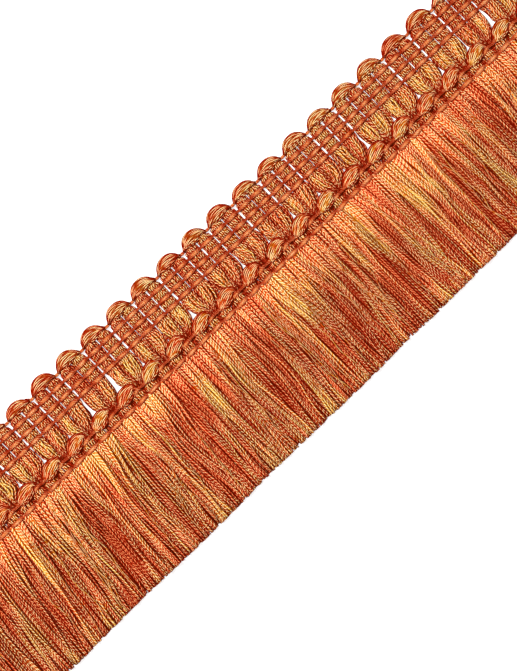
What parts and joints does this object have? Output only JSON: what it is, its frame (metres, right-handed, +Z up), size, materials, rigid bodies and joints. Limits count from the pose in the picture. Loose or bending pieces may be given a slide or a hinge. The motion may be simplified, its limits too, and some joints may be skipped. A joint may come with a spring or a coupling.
{
  "type": "fringe trim",
  "caption": "Cut length of brush fringe lying flat: woven gimp heading with a scalloped edge and open fans, warp chains, and a dense cut skirt of space-dyed yarn.",
  "frame": {"origin": "on the back of the trim, halfway along, on the flat strip behind the points of the weft's hairpins", "axes": "+X along the trim, to the right when the face is seen with the scallops up; +Y across it from the skirt to the scalloped edge; +Z up out of the face"},
  "size_m": [0.2962, 0.0747, 0.0046],
  "materials": {
    "gimp_yarn": "plied yarn, space-dyed ochre and rust, soft sheen",
    "chain_thread": "fine matt thread, burnt orange",
    "skirt_yarn": "plied yarn, space-dyed ochre, orange and rust, silky sheen"
  },
  "bodies": {
    "root": {"gimp_weft": "gimp_yarn", "chain_1_scallop_edge": "chain_thread", "chain_2": "chain_thread", "chain_3": "chain_thread", "chain_4_fan_edge": "chain_thread", "chain_5_foot": "chain_thread", "chain_6_skirt_edge": "chain_thread", "skirt": "skirt_yarn"}
  },
  "joints": []
}
